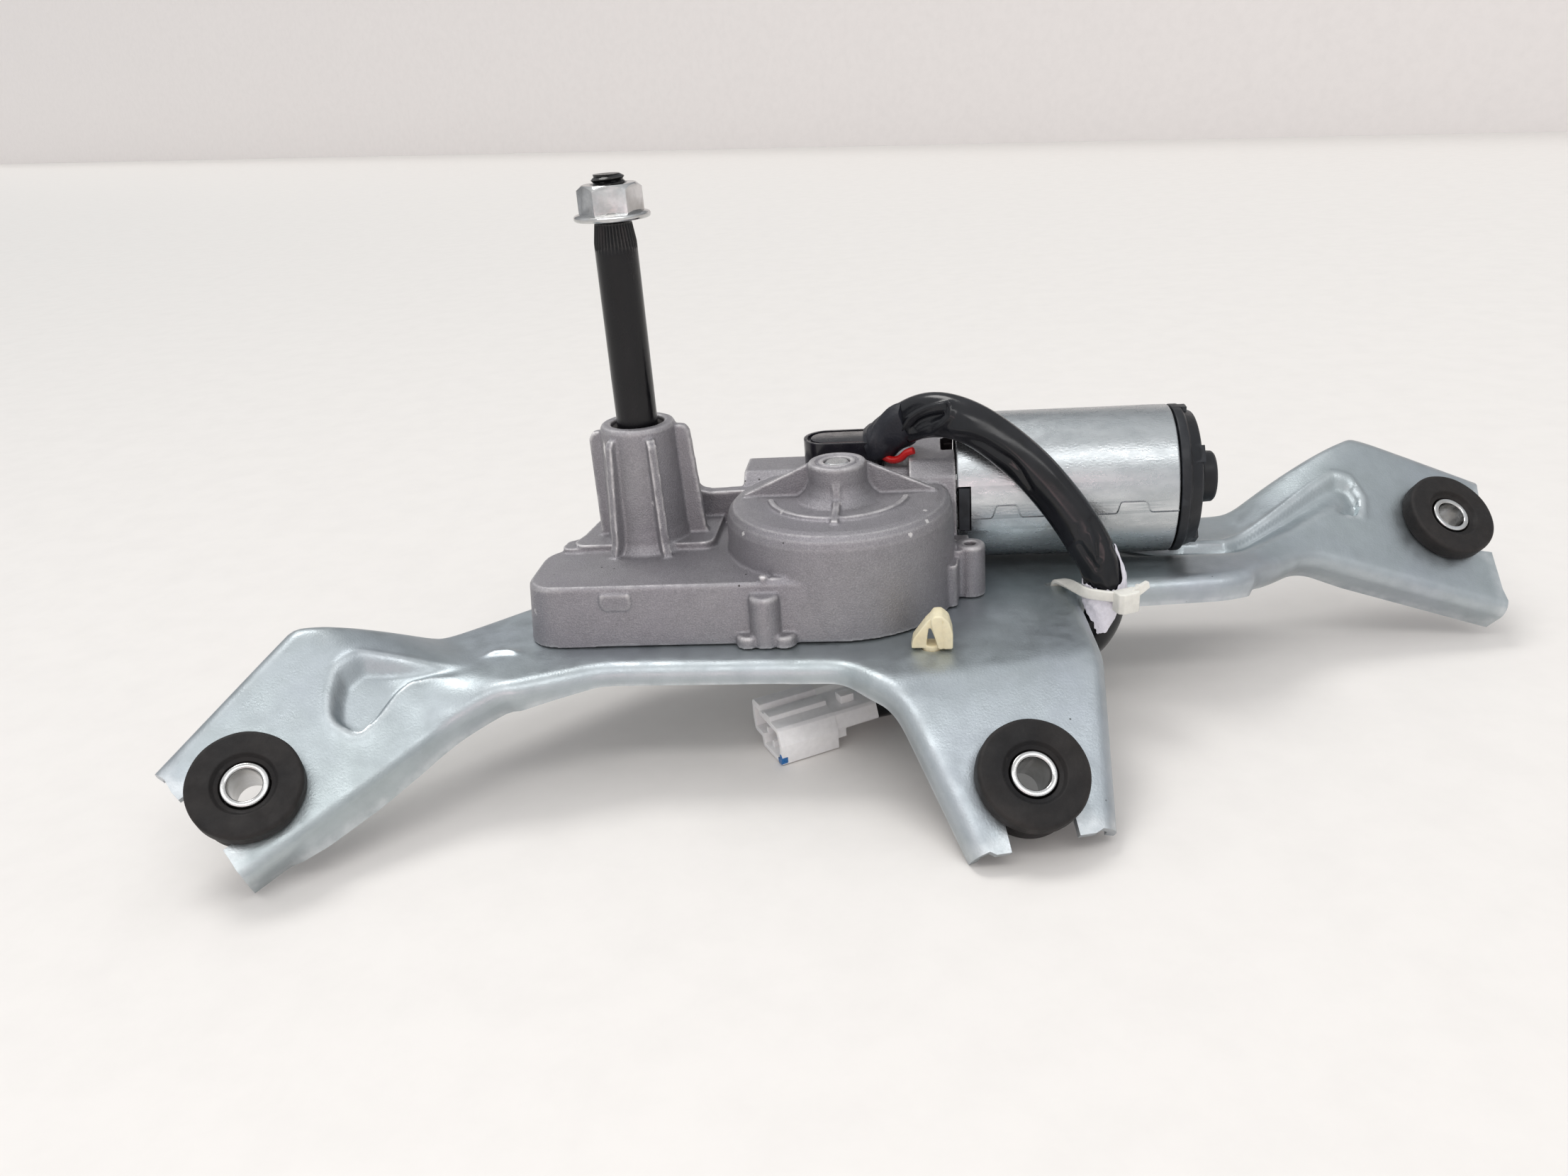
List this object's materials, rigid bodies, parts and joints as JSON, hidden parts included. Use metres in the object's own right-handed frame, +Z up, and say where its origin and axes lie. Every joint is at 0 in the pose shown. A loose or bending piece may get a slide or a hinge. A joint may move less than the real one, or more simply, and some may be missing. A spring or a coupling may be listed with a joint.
{
  "type": "rear windshield wiper motor assembly",
  "caption": "Rear windshield wiper drive: sheet-metal bracket on rubber grommets, die-cast gear housing with a worm drive, output shaft with nut, motor and wired harness.",
  "frame": {"origin": "centre of the bottom of the part's box, without its harness", "axes": "+Z up along the output shaft, +X along the motor axis and the part's longest extent, +Y away from the front leg"},
  "size_m": [0.3209, 0.1501, 0.1357],
  "materials": {
    "zinc_plated_sheet": "satin",
    "die_cast": "matt",
    "bright_steel": "satin",
    "black_oxide_shaft": "satin",
    "galvanized_can": "semi gloss",
    "black_plastic": "satin",
    "black_sleeve": "gloss",
    "grommet_rubber": "matt",
    "white_plastic": "satin",
    "natural_nylon": "satin",
    "cream_plastic": "satin",
    "wheel_plastic": "satin",
    "bronze": "satin",
    "copper": "satin",
    "laminations": "matt",
    "ferrite": "matt",
    "carbon": "matt",
    "red_wire": "gloss",
    "tape": "matt",
    "tin": "satin"
  },
  "bodies": {
    "base": {"mounting_bracket": "zinc_plated_sheet", "gear_housing": "die_cast", "upper_shaft_bush": "bronze", "lower_shaft_bush": "bronze", "shaft_seal": "grommet_rubber", "thrust_washer": "bright_steel", "gear_pin": "bright_steel", "gear_retaining_ring": "bright_steel", "magnet_front": "ferrite", "magnet_rear": "ferrite", "brush_holder": "black_plastic", "brush_front": "carbon", "brush_rear": "carbon", "front_bearing": "bronze", "rear_bearing": "bronze", "motor_yoke": "galvanized_can", "motor_end_cap": "black_plastic", "terminal_cap": "black_plastic", "motor_lead_red": "red_wire", "plate_clip": "cream_plastic", "harness_sleeve": "black_sleeve", "connector_housing": "white_plastic", "cloth_tape": "tape", "cable_tie": "natural_nylon", "housing_screw_1": "bright_steel", "connector_terminal_1": "tin", "housing_screw_2": "bright_steel", "connector_terminal_2": "tin", "housing_screw_3": "bright_steel", "connector_terminal_3": "tin", "housing_screw_4": "bright_steel", "connector_terminal_4": "tin", "grommet_left": "grommet_rubber", "bushing_left": "bright_steel", "grommet_front": "grommet_rubber", "bushing_front": "bright_steel", "grommet_right": "grommet_rubber", "bushing_right": "bright_steel"},
    "output": {"output_shaft": "black_oxide_shaft", "output_lever": "bright_steel", "lever_pin": "bright_steel", "flange_nut": "bright_steel"},
    "rod": {"connecting_rod": "bright_steel"},
    "wheel": {"worm_wheel": "wheel_plastic", "crank_pin": "bright_steel"},
    "armature": {"worm_shaft": "bright_steel", "commutator": "copper", "armature_core": "laminations", "winding_front": "copper", "winding_rear": "copper"}
  },
  "joints": [
    {"name": "output_swing", "type": "hinge", "parent": "base", "child": "output", "pos_m": [-0.063, 0.01425, 0.0912], "axis": [0, 0, 1], "range_deg": [-53, 53]},
    {"name": "rod_pivot", "type": "hinge", "parent": "output", "child": "rod", "pos_m": [-0.063, -0.00075, 0.0357], "axis": [0, 0, 1], "range_deg": [-53, 53]},
    {"name": "worm_wheel_spin", "type": "hinge", "parent": "base", "child": "wheel", "pos_m": [-0.0143, 0.01135, 0.0501], "axis": [0, 0, 1], "continuous": true},
    {"name": "armature_spin", "type": "hinge", "parent": "base", "child": "armature", "pos_m": [0.0444, 0.03675, 0.0506], "axis": [1, 0, 0], "continuous": true}
  ],
  "couplings": [
    {"joint": "rod_pivot", "follows": "output_swing", "ratio": -1},
    {"joint": "armature_spin", "follows": "worm_wheel_spin", "ratio": 44}
  ]
}
